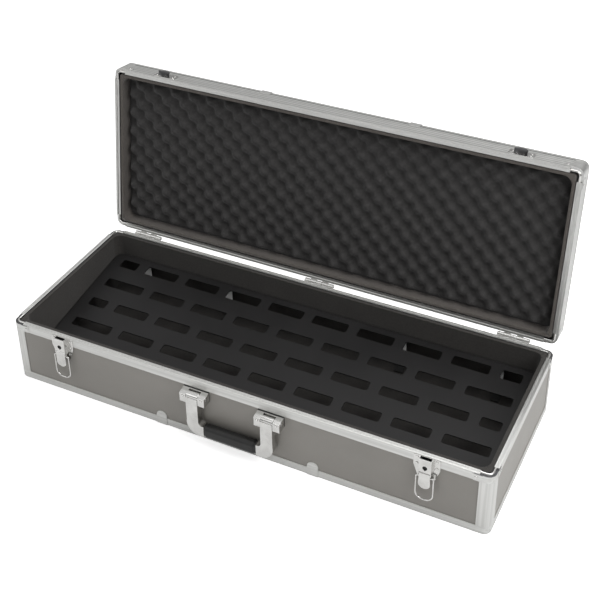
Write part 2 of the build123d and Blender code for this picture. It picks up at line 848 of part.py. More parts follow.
def lid_frame_section():
    """The lid frame: a ribbed wall, a web and leg at the rim, a shelf for the panel and a tongue."""
    wall = strip((0, lid_wall), (lid_bottom, lid_panel_bottom))
    web = strip((0, lid_web_width), (lid_bottom, lid_bottom + lid_web_thickness))
    leg = strip((lid_web_width - lid_wall, lid_web_width), (lid_bottom, lid_bottom + lid_inner_leg))
    shelf = strip((0, lid_shelf_width), (lid_shelf_bottom, lid_panel_bottom))
    middle = rim_groove_start + rim_groove_width / 2
    tongue = strip(
        (middle - tongue_width / 2, middle + tongue_width / 2), (lid_bottom - tongue_height, lid_bottom)
    )
    section = wall + web + leg + shelf + tongue
    for index in range(rib_count):
        z = lid_bottom + rib_first + index * rib_pitch
        section = section - strip((-cutter_overshoot, rib_depth), (z - rib_groove / 2, z + rib_groove / 2))
    return section


def lid_edge_section():
    """The angle over the top edge of the lid."""
    side = strip((0, skin), (lid_panel_bottom + lid_edge_groove, lid_top))
    top = strip((0, lid_edge_width), (lid_panel_top, lid_top))
    return side + top


def lid_corner_section():
    """The plain wall of the lid at its corners, above the rim caps."""
    wall = strip((0, lid_wall), (lid_bottom + lid_cap_height, lid_panel_bottom))
    shelf = strip((0, corner_radius), (lid_shelf_bottom, lid_panel_bottom))
    return wall + shelf


def lid_panel():
    """The top panel of the lid, lying on the shelf of the frame."""
    inset = skin + panel_end_clearance / 2
    outline = RectangleRounded(case_length - 2 * inset, case_depth - 2 * inset, corner_radius - inset)
    return Pos(0, 0, lid_panel_bottom) * extrude(outline, panel_thickness)


def lid_foam():
    """The foam in the lid: a thick slab, as deep as the tops of its bumps."""
    inset = lid_liner_inner + foam_side_gap
    outline = RectangleRounded(case_length - 2 * inset, case_depth - 2 * inset, liner_corner + corner_ease)
    return Pos(0, 0, lid_panel_bottom - foam_thickness) * extrude(outline, foam_thickness)


def lid_clip(x):
    """A clip over the top front edge of the lid."""
    out = front_face - clip_sheet
    top = lid_top + clip_sheet
    low = lid_top - clip_over
    side = block((-clip_width / 2, clip_width / 2), (out, front_face), (low, top))
    over = block((-clip_width / 2, clip_width / 2), (out, front_face + clip_over), (lid_top, top))
    bent = side + over
    outer_edge = bent.edges().filter_by(Axis.X).group_by(Axis.Z)[-1].sort_by(Axis.Y)[0]
    return Pos(x, 0, 0) * fillet(outer_edge, clip_bend)


# --- fasteners ------------------------------------------------------------------------------------
def cap_rivets(z):
    """Rivets in the tabs of the rim corner caps, on the front, rear and both ends."""
    inset = (tab_end + corner_leg) / 2
    heads = []
    for sign in (-1, 1):
        long_head = rivet_on_front(sign * (half_length - inset), z, -half_depth - tab_thickness)
        short_head = rivet_on_front(sign * (half_depth - inset), z, -half_length - tab_thickness)
        heads += [turned_to("front", long_head), turned_to("rear", long_head)]
        heads += [turned_to("right", short_head), turned_to("left", short_head)]
    return heads


def latch_rivets(z_values, x_offset):
    """Rivets in both wings of a plate at the two latch places."""
    face = front_face - plate
    heads = []
    for place in (-latch_x, latch_x):
        for sign in (-1, 1):
            heads += [rivet_on_front(place + sign * x_offset, z, face) for z in z_values]
    return heads


def bracket_rivets():
    """A rivet head on the front of each ear of the handle brackets."""
    offset = (bracket_width + arm_width) / 4
    places = [side * bracket_x + ear * offset for side in (-1, 1) for ear in (-1, 1)]
    return [rivet_on_front(x, handle_axis_z, bracket_front) for x in places]


def hinge_rivets(z, y):
    """Three rivets in each hinge leaf, on the rear."""
    offsets = (-hinge_width / 3, 0, hinge_width / 3)
    places = [place + offset for place in (-hinge_spacing, 0, hinge_spacing) for offset in offsets]
    return [turned_to("rear", rivet_on_front(x, z, -y)) for x in places]


# --- build every node -----------------------------------------------------------------------------
liner = liner_ring(liner_outer, liner_inner, (floor_liner_top, liner_top))
lid_liner = liner_ring(lid_liner_outer, lid_liner_inner, (lid_bottom + lid_liner_lift, lid_shelf_bottom))

save("base_panel_bottom", bottom_panel())
save("base_floor_liner", floor_liner())
for side in side_turn:
    save(f"base_panel_{side}", along_wall(wall_panel(), side, panel_end))
    save(f"base_rim_{side}", along_wall(rim_section(), side, corner_leg))
    save(f"base_rail_{side}", along_wall(bottom_rail_section(), side, corner_leg))
    save(f"base_liner_{side}", mitred(liner, side))
    save(f"lid_frame_{side}", opened(along_wall(lid_frame_section(), side, corner_leg)))
    save(f"lid_edge_{side}", opened(along_wall(lid_edge_section(), side, corner_leg)))

save("base_corner_posts", at_corners(post()))
save("base_bottom_corners", at_corners(round_corner(bottom_rail_section())))
save("base_rim_corners", at_corners(rim_cap(base_height, -1, rim_flange_drop)))
save("base_clips", [base_clip(-clip_x), base_clip(clip_x)])

leaf_base_z = (-hinge_leaf_height, -knuckle_radius + leaf_overlap)
leaf_lid_z = (knuckle_radius - leaf_overlap, hinge_leaf_height)
save("hinge_leaves_base", at_hinges(hinge_leaf_solid(0, leaf_base_z)))
save("hinge_leaves_lid", opened(at_hinges(hinge_leaf_solid(1, leaf_lid_z))))
save("hinge_pins", at_hinges(hinge_pin()))

latch_places = {"left": -latch_x, "right": latch_x}
for name, place in latch_places.items():
    at_latch = Pos(place, 0, 0)
    save(f"latch_body_{name}", at_latch * latch_body())
    save(f"lock_cylinder_{name}", at_latch * lock_cylinder())
    save(f"latch_lever_{name}", at_latch * lever())
    save(f"latch_bail_{name}", at_latch * bail())
lever_pivots = [(place, lever_axis_y, lever_axis_z) for place in latch_places.values()]
save("latch_pins", [rod(lever_pin_radius, latch_box_width, pivot) for pivot in lever_pivots])

save("handle_brackets", [Pos(side * bracket_x, 0, 0) * handle_bracket() for side in (-1, 1)])
save("handle_gaskets", [Pos(side * bracket_x, 0, 0) * bracket_gasket() for side in (-1, 1)])
pivots = [(side * bracket_x, handle_axis_y, handle_axis_z) for side in (-1, 1)]
save("handle_pins", [rod(handle_pin_radius, bracket_width + 2 * handle_pin_end, pivot) for pivot in pivots])
save("handle_arm_right", handle_arm())
save("handle_arm_left", mirror(handle_arm(), Plane.YZ))
save("handle_grip", handle_grip())

board_edge = board_depth / 2 * cos(tilt) - leg_edge_inset
save("pedal_board", pedal_board())
save("board_legs_rear", board_legs(board_centre_y + board_edge, -1))
save("board_legs_front", board_legs(board_centre_y - board_edge, 1))

save("lid_panel", opened(lid_panel()))
lid_walls = at_corners(round_corner(lid_corner_section()))
lid_edges = at_corners(round_corner(lid_edge_section()))
save("lid_corners", opened(lid_walls + lid_edges))
save("lid_rim_corners", opened(at_corners(rim_cap(lid_bottom, 1, lid_cap_height))))
save("lid_liner", opened([mitred(lid_liner, side) for side in side_turn]))
save("lid_foam", opened(lid_foam()))
save("lid_strikes", opened([Pos(x, 0, 0) * strike() for x in latch_places.values()]))
save("lid_clips", opened([lid_clip(-clip_x), lid_clip(clip_x)]))

wing = (latch_plate_width + latch_box_width) / 4
base_heads = cap_rivets(base_height - cap_shoulder_drop - tab_height / 2)
plate_rivet_z = (latch_plate_top - plate_rivet_inset, latch_plate_shoulder + shoulder_rivet_rise)
base_heads += latch_rivets(plate_rivet_z, wing)
base_heads += bracket_rivets()
base_heads += hinge_rivets(hinge_z - hinge_leaf_height / 2 - hinge_rivet_shift, rear_face + hinge_leaf)
save("base_rivets", base_heads)
lid_heads = cap_rivets(lid_bottom + cap_shoulder_drop + tab_height / 2)
strike_rivet_z = (strike_top - strike_rivet_inset, strike_bottom + strike_rivet_inset)
lid_heads += latch_rivets(strike_rivet_z, wing)
lid_heads += hinge_rivets(hinge_z + hinge_leaf_height / 2 + hinge_rivet_shift, rear_face + hinge_leaf)
save("lid_rivets", opened(lid_heads))
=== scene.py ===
import json
from math import cos, pi, radians, sin

import bmesh
import bpy
from mathutils import Matrix, Vector

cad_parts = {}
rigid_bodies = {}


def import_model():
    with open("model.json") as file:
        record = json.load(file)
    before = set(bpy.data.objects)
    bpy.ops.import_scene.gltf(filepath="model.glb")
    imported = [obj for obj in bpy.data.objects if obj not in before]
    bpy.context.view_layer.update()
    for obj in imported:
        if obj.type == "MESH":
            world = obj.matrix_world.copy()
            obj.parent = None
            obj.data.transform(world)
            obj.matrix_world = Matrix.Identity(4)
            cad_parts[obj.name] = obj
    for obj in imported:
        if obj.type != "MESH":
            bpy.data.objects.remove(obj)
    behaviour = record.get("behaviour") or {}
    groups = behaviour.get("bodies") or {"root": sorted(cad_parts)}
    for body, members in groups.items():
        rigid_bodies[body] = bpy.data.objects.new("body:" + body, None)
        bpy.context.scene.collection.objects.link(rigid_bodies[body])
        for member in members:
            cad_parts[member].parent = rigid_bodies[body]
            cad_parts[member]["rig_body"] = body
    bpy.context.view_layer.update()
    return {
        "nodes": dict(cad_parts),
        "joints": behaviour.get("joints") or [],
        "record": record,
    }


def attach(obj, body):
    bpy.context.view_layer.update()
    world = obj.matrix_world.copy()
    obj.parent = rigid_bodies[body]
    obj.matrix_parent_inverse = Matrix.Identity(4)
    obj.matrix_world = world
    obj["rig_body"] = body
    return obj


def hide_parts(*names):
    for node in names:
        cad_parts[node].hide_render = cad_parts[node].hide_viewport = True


# Looks for the pedal case: soft edges on every piece, convoluted foam in the lid, felt linings,
# drawn aluminium, nickel hardware, grey laminate panels and a black slotted board. Metres.

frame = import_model()
nodes = frame["nodes"]
joints = {joint["name"]: joint for joint in frame["joints"]}
slot_of = {part["node"]: part["material_slot"] for part in frame["record"]["subparts"]}

# --- camera --------------------------------------------------------------------------------------
camera_place = (0.7437, -1.4086, 1.3994)
camera_yaw = 26.37
camera_pitch = -31.35
camera_roll = -0.73
camera_lens = 71.58
camera_sensor = 36
camera_shift = -0.2

# --- foam ----------------------------------------------------------------------------------------
foam_pitch = 0.037
foam_cell = 0.0031
foam_valley_share = 0.36
foam_edge_share = 0.9
foam_edge_run = 0.012

# --- edges: the angles that tell them, in degrees, and the width of each bevel --------------------
sharp_angle = 34
shading_angle = 50
flat_angle = 0.5
weld_distance = 1e-6
pin_edge = 0.0001
gasket_edge = 0.0002
rail_edge = 0.00025
metal_edge = 0.0003
panel_edge = 0.0004
board_edge = 0.0005
grip_edge = 0.0008
floor_felt_edge = 0.0008
felt_edge = 0.0014

# --- latches, catches and legs -------------------------------------------------------------------
room_half = 0.0085
room_wall = 0.0012
room_depth = 0.0080
catch_half = 0.0135
catch_stand = 0.0020
# height below which the rear legs are painted black as shade
leg_shade_top = 0.045

# --- rails and corners ---------------------------------------------------------------------------
bead_stand = 0.0022
# height of the band of painted shade below the base bead
bead_shade_width = 0.0004
# width of the painted shade band along the top of the lid frame
lid_shade_line_width = 0.0016
rib_pitch = 0.0070

# --- floor and light -----------------------------------------------------------------------------
floor_half = 6.0
floor_drop = 0.0003
floor_in_metal = 0.10
floor_to_camera = 0.62
studio_light = 0.42
studio_to_camera = 0.60
studio_in_metal_low = 0.12
studio_in_metal_high = 0.80
studio_rise_from = 0.05
studio_rise_to = 0.55
lamp_target = (0, 0, 0.1)


# --- small helpers -------------------------------------------------------------------------------
def weigh_normals(mesh):
    """Let the larger faces lead the shading, so that flat faces stay flat up to their soft edges."""
    limit = cos(radians(shading_angle))
    normals = [polygon.normal.copy() for polygon in mesh.polygons]
    areas = [polygon.area for polygon in mesh.polygons]
    around = [[] for _ in mesh.vertices]
    for polygon in mesh.polygons:
        for vertex in polygon.vertices:
            around[vertex].append(polygon.index)
    corners = []
    for polygon in mesh.polygons:
        own = normals[polygon.index]
        for vertex in polygon.vertices:
            near = [i for i in around[vertex] if normals[i].dot(own) > limit]
            total = sum((normals[i] * areas[i] for i in near), own * 1e-12)
            corners.append(total.normalized())
    mesh.normals_split_custom_set(corners)


def new_object(name, bm, material):
    """Turn a bmesh into a smoothly shaded object at the origin."""
    mesh = bpy.data.meshes.new(name)
    bm.to_mesh(mesh)
    bm.free()
    for polygon in mesh.polygons:
        polygon.use_smooth = True
    weigh_normals(mesh)
    mesh.materials.append(material)
    piece = bpy.data.objects.new(name, mesh)
    bpy.context.scene.collection.objects.link(piece)
    return piece


def welded_copy(node):
    """A bmesh copy of a CAD node, its loose triangles joined and its flat faces made whole."""
    bm = bmesh.new()
    bm.from_mesh(nodes[node].data)
    bmesh.ops.remove_doubles(bm, verts=bm.verts, dist=weld_distance)
    bmesh.ops.dissolve_limit(bm, angle_limit=radians(flat_angle), verts=bm.verts, edges=bm.edges)
    return bm


def eased(node, width, material, segments=2, cuts=()):
    """Stand a copy of a CAD node in for it, with its hard edges broken by a small bevel."""
    bm = welded_copy(node)
    for place, direction in cuts:
        everything = bm.verts[:] + bm.edges[:] + bm.faces[:]
        bmesh.ops.bisect_plane(bm, geom=everything, plane_co=place, plane_no=direction)
    hard = [e for e in bm.edges if e.is_manifold and e.calc_face_angle(0) > radians(sharp_angle)]
    bmesh.ops.bevel(
        bm,
        geom=hard,
        offset=width,
        offset_type="OFFSET",
        segments=segments,
        profile=0.5,
        affect="EDGES",
        clamp_overlap=True,
        material=-1,
    )
    piece = new_object(node + "_finish", bm, material)
    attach(piece, nodes[node]["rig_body"])
    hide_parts(node)
    return piece


# --- node helpers --------------------------------------------------------------------------------
class Nodes:
    """Adds and links shader nodes in one tree."""

    def __init__(self, tree):
        self.tree = tree

    def add(self, kind, **values):
        node = self.tree.nodes.new(kind)
        for name, value in values.items():
            setattr(node, name, value)
        return node

    def link(self, start, end):
        self.tree.links.new(start, end)

    def noise(self, vector, scale, detail=3.0, roughness=0.5):
        node = self.add("ShaderNodeTexNoise")
        node.inputs["Scale"].default_value = scale
        node.inputs["Detail"].default_value = detail
        node.inputs["Roughness"].default_value = roughness
        self.link(vector, node.inputs["Vector"])
        return node.outputs["Fac"]

    def ramp(self, value, low, high, low_value=0.0, high_value=1.0):
        node = self.add("ShaderNodeMapRange")
        node.inputs["From Min"].default_value = low
        node.inputs["From Max"].default_value = high
        node.inputs["To Min"].default_value = low_value
        node.inputs["To Max"].default_value = high_value
        self.link(value, node.inputs["Value"])
        return node.outputs["Result"]

    def maths(self, operation, first, second):
        node = self.add("ShaderNodeMath", operation=operation)
        for index, value in enumerate((first, second)):
            if isinstance(value, (int, float)):
                node.inputs[index].default_value = value
            else:
                self.link(value, node.inputs[index])
        return node.outputs["Value"]

    def mix(self, factor, first, second):
        node = self.add("ShaderNodeMix", data_type="RGBA")
        sockets = {s.identifier: s for s in node.inputs}
        for key, value in (("Factor_Float", factor), ("A_Color", first), ("B_Color", second)):
            if isinstance(value, tuple):
                sockets[key].default_value = (*value, 1.0)
            elif isinstance(value, (int, float)):
                sockets[key].default_value = value
            else:
                self.link(value, sockets[key])
        return [s for s in node.outputs if s.identifier == "Result_Color"][0]

    def place(self):
        return self.add("ShaderNodeTexCoord").outputs["Object"]

    def bump(self, height, strength, distance):
        node = self.add("ShaderNodeBump")
        node.inputs["Strength"].default_value = strength
        node.inputs["Distance"].default_value = distance
        self.link(height, node.inputs["Height"])
        return node.outputs["Normal"]


def new_group(name, inputs, outputs):
    """An empty node group with named sockets, and its input and output nodes."""
    tree = bpy.data.node_groups.new(name, "ShaderNodeTree")
    for label, kind, value in inputs:
        socket = tree.interface.new_socket(label, in_out="INPUT", socket_type=kind)
        socket.default_value = value
    for label, kind in outputs:
        tree.interface.new_socket(label, in_out="OUTPUT", socket_type=kind)
    made = Nodes(tree)
    return made, made.add("NodeGroupInput"), made.add("NodeGroupOutput")


def drawn_lines_group():
    """Fine lines stretched along one direction, as rolling and drawing leave on metal."""
    made, entry, leave = new_group(
        "drawn_lines",
        [("Stretch", "NodeSocketVector", (1.0, 1.0, 1.0))],
        [("Fine", "NodeSocketFloat"), ("Broad", "NodeSocketFloat")],
    )
    where = made.place()
    mapping = made.add("ShaderNodeMapping")
    made.link(where, mapping.inputs["Vector"])
    made.link(entry.outputs["Stretch"], mapping.inputs["Scale"])
    made.link(made.noise(mapping.outputs["Vector"], 1.0, 4.0, 0.65), leave.inputs["Fine"])
    made.link(made.noise(mapping.outputs["Vector"], 0.22, 2.0), leave.inputs["Broad"])
    return made.tree


def handling_group():
    """Slight marks of handling: soft smudges and a few small scuffs."""
    made, entry, leave = new_group(
        "handling",
        [("Scale", "NodeSocketFloat", 1.0)],
        [("Smudge", "NodeSocketFloat"), ("Scuff", "NodeSocketFloat")],
    )
    where = made.place()
    scaled = made.add("ShaderNodeVectorMath", operation="SCALE")
    made.link(where, scaled.inputs[0])
    made.link(entry.outputs["Scale"], scaled.inputs["Scale"])
    smudge = made.noise(scaled.outputs["Vector"], 9.0, 4.0, 0.6)
    made.link(made.ramp(smudge, 0.35, 0.7), leave.inputs["Smudge"])
    scuff = made.noise(scaled.outputs["Vector"], 160.0, 5.0, 0.7)
    made.link(made.ramp(scuff, 0.66, 0.74), leave.inputs["Scuff"])
    return made.tree


def speckle_group():
    """A fine even grain and its pits, for every finish but drawn and turned metal."""
    made, entry, leave = new_group(
        "speckle",
        [("Scale", "NodeSocketFloat", 1000.0)],
        [("Grain", "NodeSocketFloat"), ("Pits", "NodeSocketFloat")],
    )
    where = made.place()
    noise = made.add("ShaderNodeTexNoise")
    noise.inputs["Detail"].default_value = 3.0
    made.link(where, noise.inputs["Vector"])
    made.link(entry.outputs["Scale"], noise.inputs["Scale"])
    made.link(noise.outputs["Fac"], leave.inputs["Grain"])
    cells = made.add("ShaderNodeTexVoronoi")
    made.link(where, cells.inputs["Vector"])
    made.link(entry.outputs["Scale"], cells.inputs["Scale"])
    made.link(cells.outputs["Distance"], leave.inputs["Pits"])
    return made.tree


def ribs_group():
    """Even ribs that repeat in one direction, for the long rails of the lid frame."""
    made, entry, leave = new_group(
        "ribs",
        [("Across", "NodeSocketVector", (0.0, 0.0, 1.0)), ("Turns", "NodeSocketFloat", 2000.0)],
        [("Height", "NodeSocketFloat")],
    )
    where = made.place()
    distance = made.add("ShaderNodeVectorMath", operation="DOT_PRODUCT")
    made.link(where, distance.inputs[0])
    made.link(entry.outputs["Across"], distance.inputs[1])
    turned = made.maths("MULTIPLY", distance.outputs["Value"], entry.outputs["Turns"])
    wave = made.add("ShaderNodeMath", operation="COSINE")
    made.link(turned, wave.inputs[0])
    made.link(made.ramp(wave.outputs["Value"], -1.0, -0.5), leave.inputs["Height"])
    return made.tree


groups = {
    "ribs": ribs_group(),
    "lines": drawn_lines_group(),
    "handling": handling_group(),
    "speckle": speckle_group(),
}


def blank_material(name, roughness, metallic=0.0):
    """A material with one Principled shader and its plain settings."""
    material = bpy.data.materials.new(name)
    material.use_nodes = True
    made = Nodes(material.node_tree)
    shader = material.node_tree.nodes["Principled BSDF"]
    shader.inputs["Roughness"].default_value = roughness
    shader.inputs["Metallic"].default_value = metallic
    return material, made, shader


def use_group(made, key, **values):
    """Place one of the shared effects with its own values."""
    node = made.add("ShaderNodeGroup", node_tree=groups[key])
    for name, value in values.items():
        node.inputs[name].default_value = value
    return node.outputs


# --- materials -----------------------------------------------------------------------------------
def drawn_aluminium(name, stretch):
    """Satin drawn aluminium, its lines along the length of the rail."""
    material, made, shader = blank_material(name, 0.36, metallic=1.0)
    lines = use_group(made, "lines", Stretch=stretch)
    marks = use_group(made, "handling", Scale=1.6)
    streak = made.ramp(lines["Broad"], 0.35, 0.65)
    colour = made.mix(streak, (0.56, 0.56, 0.545), (0.66, 0.66, 0.645))
    colour = made.mix(made.maths("MULTIPLY", marks["Scuff"], 0.35), colour, (0.5, 0.5, 0.49))
    made.link(colour, shader.inputs["Base Color"])
    roughness = made.ramp(lines["Fine"], 0.3, 0.7, 0.29, 0.45)
    smudged = made.maths("MULTIPLY", marks["Smudge"], 0.06)
    made.link(made.maths("ADD", roughness, smudged), shader.inputs["Roughness"])
    made.link(made.bump(lines["Fine"], strength=0.25, distance=0.00008), shader.inputs["Normal"])
    return material


def ribbed_aluminium(name, stretch, across):
    """Drawn aluminium with shallow ribs, their grooves darkened with painted shade."""
    material, made, shader = blank_material(name, 0.34, metallic=1.0)
    lines = use_group(made, "lines", Stretch=stretch)
    ribs = use_group(made, "ribs", Across=across, Turns=2 * pi / rib_pitch)
    streak = made.ramp(lines["Broad"], 0.35, 0.65)
    colour = made.mix(streak, (0.60, 0.60, 0.585), (0.70, 0.70, 0.685))
    # darker colour in the rib grooves: painted shade
    made.link(made.mix(ribs["Height"], (0.34, 0.34, 0.335), colour), shader.inputs["Base Color"])
    made.link(made.ramp(lines["Fine"], 0.3, 0.7, 0.28, 0.44), shader.inputs["Roughness"])
    height = made.maths("ADD", ribs["Height"], made.maths("MULTIPLY", lines["Fine"], 0.1))
    made.link(made.bump(height, strength=0.35, distance=0.0003), shader.inputs["Normal"])
    return material


def nickel_plate():
    """Bright nickel plate on pressed steel, slightly clouded by handling."""
    material, made, shader = blank_material("nickel_plate", 0.16, metallic=1.0)
    marks = use_group(made, "handling", Scale=5.0)
    grain = use_group(made, "speckle", Scale=700.0)
    colour = made.mix(marks["Smudge"], (0.66, 0.655, 0.64), (0.54, 0.535, 0.52))
    scuffed = made.maths("MULTIPLY", marks["Scuff"], 0.4)
    made.link(made.mix(scuffed, colour, (0.48, 0.47, 0.45)), shader.inputs["Base Color"])
    made.link(made.ramp(marks["Smudge"], 0.0, 1.0, 0.12, 0.24), shader.inputs["Roughness"])
    made.link(made.bump(grain["Grain"], strength=0.06, distance=0.0002), shader.inputs["Normal"])
    return material


def dark_finish_and_painted_shade(name, colour, rough):
    """A dark metal finish: the locks' own black, and painted shade in the insides of the latches, on the
    catches, in the lines in the frame and below the beads.
    """
    material, made, shader = blank_material(name, rough, metallic=0.6)
    grain = use_group(made, "speckle", Scale=900.0)
    pale = tuple(1.6 * part for part in colour)
    made.link(made.mix(grain["Grain"], colour, pale), shader.inputs["Base Color"])
    made.link(made.ramp(grain["Grain"], 0.3, 0.7, rough - 0.08, rough + 0.08), shader.inputs["Roughness"])
    made.link(made.bump(grain["Grain"], strength=0.1, distance=0.0001), shader.inputs["Normal"])
    return material


def lit_white_legs():
    """Near-white on the rear board legs, a painted highlight for the light they catch through the slots."""
    material, made, shader = blank_material("lit_white_legs", 0.4)
    grain = use_group(made, "speckle", Scale=700.0)
    colour = made.mix(grain["Grain"], (0.84, 0.84, 0.83), (0.90, 0.90, 0.89))
    made.link(colour, shader.inputs["Base Color"])
    made.link(made.ramp(grain["Grain"], 0.3, 0.7, 0.34, 0.46), shader.inputs["Roughness"])
    made.link(made.bump(grain["Grain"], strength=0.08, distance=0.0002), shader.inputs["Normal"])
    return material


def plain_steel():
    """Plain turned steel for pins."""
    material, made, shader = blank_material("plain_steel", 0.3, metallic=1.0)
    lines = use_group(made, "lines", Stretch=(60.0, 1400.0, 1400.0))
    made.link(made.mix(lines["Broad"], (0.42, 0.415, 0.41), (0.58, 0.575, 0.57)), shader.inputs["Base Color"])
    made.link(made.ramp(lines["Fine"], 0.3, 0.7, 0.22, 0.38), shader.inputs["Roughness"])
    made.link(made.bump(lines["Fine"], strength=0.2, distance=0.00005), shader.inputs["Normal"])
    return material


def grey_laminate():
    """Satin grey laminate on plywood, with a faint pebble and slight clouding."""
    material, made, shader = blank_material("grey_laminate", 0.42)
    grain = use_group(made, "speckle", Scale=900.0)
    marks = use_group(made, "handling", Scale=1.0)
    colour = made.mix(marks["Smudge"], (0.248, 0.236, 0.216), (0.278, 0.264, 0.243))
    colour = made.mix(made.ramp(grain["Grain"], 0.35, 0.7, 0.0, 0.35), colour, (0.213, 0.202, 0.185))
    scuffed = made.maths("MULTIPLY", marks["Scuff"], 0.15)
    made.link(made.mix(scuffed, colour, (0.42, 0.40, 0.38)), shader.inputs["Base Color"])
    made.link(made.ramp(marks["Smudge"], 0.0, 1.0, 0.38, 0.47), shader.inputs["Roughness"])
    made.link(made.bump(grain["Pits"], strength=0.12, distance=0.0002), shader.inputs["Normal"])
    return material


def powder_coat():
    """Matt black powder coat with its fine orange peel."""
    material, made, shader = blank_material("powder_coat", 0.5)
    shader.inputs["Specular IOR Level"].default_value = 0.22
    grain = use_group(made, "speckle", Scale=520.0)
    marks = use_group(made, "handling", Scale=1.2)
    colour = made.mix(marks["Smudge"], (0.0105, 0.0100, 0.0102), (0.0140, 0.0134, 0.0136))
    scuffed = made.maths("MULTIPLY", marks["Scuff"], 0.2)
    made.link(made.mix(scuffed, colour, (0.04, 0.04, 0.04)), shader.inputs["Base Color"])
    made.link(made.ramp(marks["Smudge"], 0.0, 1.0, 0.44, 0.54), shader.inputs["Roughness"])
    made.link(made.bump(grain["Grain"], strength=0.25, distance=0.0004), shader.inputs["Normal"])
    return material


def open_foam():
    """Charcoal open foam, pitted all over by its cells."""
    material, made, shader = blank_material("open_foam", 0.9)
    cells = use_group(made, "speckle", Scale=850.0)
    coarse = use_group(made, "speckle", Scale=330.0)
    colour = made.mix(made.ramp(cells["Pits"], 0.1, 0.6), (0.016, 0.0155, 0.0155), (0.040, 0.038, 0.037))
    colour = made.mix(made.ramp(coarse["Grain"], 0.3, 0.7, 0.0, 0.5), colour, (0.028, 0.027, 0.027))
    made.link(colour, shader.inputs["Base Color"])
    made.link(made.ramp(coarse["Grain"], 0.3, 0.7, 0.82, 0.96), shader.inputs["Roughness"])
    height = made.maths("ADD", made.maths("MULTIPLY", coarse["Grain"], 0.6), cells["Pits"])
    made.link(made.bump(height, strength=0.55, distance=0.0006), shader.inputs["Normal"])
    shader.inputs["Sheen Weight"].default_value = 0.12
    shader.inputs["Sheen Roughness"].default_value = 0.5
    return material


def felt(name, dark, pale):
    """Short pressed felt: matted fibres with a soft sheen."""
    material, made, shader = blank_material(name, 0.95)
    fibre = use_group(made, "speckle", Scale=1500.0)
    matted = made.noise(made.place(), 240.0, 6.0, 0.75)
    clouds = use_group(made, "handling", Scale=2.5)
    colour = made.mix(made.ramp(matted, 0.3, 0.7), dark, pale)
    cloudy = made.maths("MULTIPLY", clouds["Smudge"], 0.3)
    made.link(made.mix(cloudy, colour, tuple(0.8 * c for c in dark)), shader.inputs["Base Color"])
    made.link(made.ramp(matted, 0.3, 0.7, 0.86, 0.98), shader.inputs["Roughness"])
    height = made.maths("ADD", matted, made.maths("MULTIPLY", fibre["Grain"], 0.5))
    made.link(made.bump(height, strength=0.5, distance=0.0006), shader.inputs["Normal"])
    shader.inputs["Sheen Weight"].default_value = 0.25
    shader.inputs["Sheen Roughness"].default_value = 0.4
    return material


def moulded_grip():
    """Black moulded plastic with a leathery texture."""
    material, made, shader = blank_material("moulded_grip", 0.45)
    shader.inputs["Specular IOR Level"].default_value = 0.36
    grain = use_group(made, "speckle", Scale=420.0)
    marks = use_group(made, "handling", Scale=6.0)
    colour = made.mix(made.ramp(grain["Pits"], 0.1, 0.6), (0.008, 0.008, 0.008), (0.016, 0.016, 0.0155))
    made.link(colour, shader.inputs["Base Color"])
    made.link(made.ramp(marks["Smudge"], 0.0, 1.0, 0.36, 0.5), shader.inputs["Roughness"])
    made.link(made.bump(grain["Pits"], strength=0.35, distance=0.0004), shader.inputs["Normal"])
    return material


def black_rubber_and_leg_shade():
    """Dull black rubber of the handle gaskets, also put on the lower rear board legs as painted shade."""
    material, made, shader = blank_material("black_rubber_and_leg_shade", 0.7)
    grain = use_group(made, "speckle", Scale=800.0)
    colour = made.mix(grain["Grain"], (0.012, 0.012, 0.012), (0.028, 0.028, 0.027))
    made.link(colour, shader.inputs["Base Color"])
    made.link(made.ramp(grain["Grain"], 0.3, 0.7, 0.6, 0.8), shader.inputs["Roughness"])
    made.link(made.bump(grain["Grain"], strength=0.2, distance=0.0002), shader.inputs["Normal"])
    return material


along = {"x": (14.0, 1500.0, 1500.0), "y": (1500.0, 14.0, 1500.0), "z": (1500.0, 1500.0, 14.0)}
aluminium = {axis: drawn_aluminium("aluminium_" + axis, stretch) for axis, stretch in along.items()}
nickel = nickel_plate()
steel = plain_steel()
# the locks in their own black; then painted shade, near-black for the latch hollows and the frame line, dark
# grey for the catches and below the rim beads
lock_black = dark_finish_and_painted_shade("lock_black", (0.010, 0.010, 0.010), 0.4)
deep_shade = dark_finish_and_painted_shade("deep_shade", (0.004, 0.004, 0.004), 0.6)
shade_grey = dark_finish_and_painted_shade("shade_grey", (0.060, 0.060, 0.062), 0.35)
leg_painted_light = lit_white_legs()
laminate = grey_laminate()
coat = powder_coat()
foam_material = open_foam()
base_felt = felt("base_felt", (0.024, 0.022, 0.020), (0.050, 0.046, 0.042))
lid_felt = felt("lid_felt", (0.070, 0.062, 0.055), (0.125, 0.112, 0.102))
grip_material = moulded_grip()
rubber_and_leg_shade = black_rubber_and_leg_shade()


# --- foam in the lid -----------------------------------------------------------------------------
def lid_turn():
    """The matrix that opens the lid from shut, about its hinge."""
    joint = joints["lid_hinge"]
    place = Matrix.Translation(Vector(joint["pos_m"]))
    angle = radians(joint["range_deg"][1])
    return place @ Matrix.Rotation(-angle, 4, Vector(joint["axis"])) @ place.inverted()


def shut_box(node):
    """The lowest and highest corners of a lid node with the lid shut."""
    back = lid_turn().inverted()
    points = [back @ v.co for v in nodes[node].data.vertices]
    low = Vector([min(p[i] for p in points) for i in range(3)])
    high = Vector([max(p[i] for p in points) for i in range(3)])
    return low, high


def foam_height(x, y, low, high, thickness):
    """How far the foam stands from the lid panel at a place: crossed waves that fade at its edge."""
    wave = cos(2 * pi * x / foam_pitch) * cos(2 * pi * y / foam_pitch)
    wave = 0.5 + 0.5 * wave
    to_edge = min(x - low.x, high.x - x, y - low.y, high.y - y)
    fade = min(1.0, max(0.0, to_edge / foam_edge_run))
    fade = fade * fade * (3 - 2 * fade)
    share = foam_valley_share + (1 - foam_valley_share) * wave
    edge = foam_valley_share * foam_edge_share
    return thickness * (edge + (share - edge) * fade)


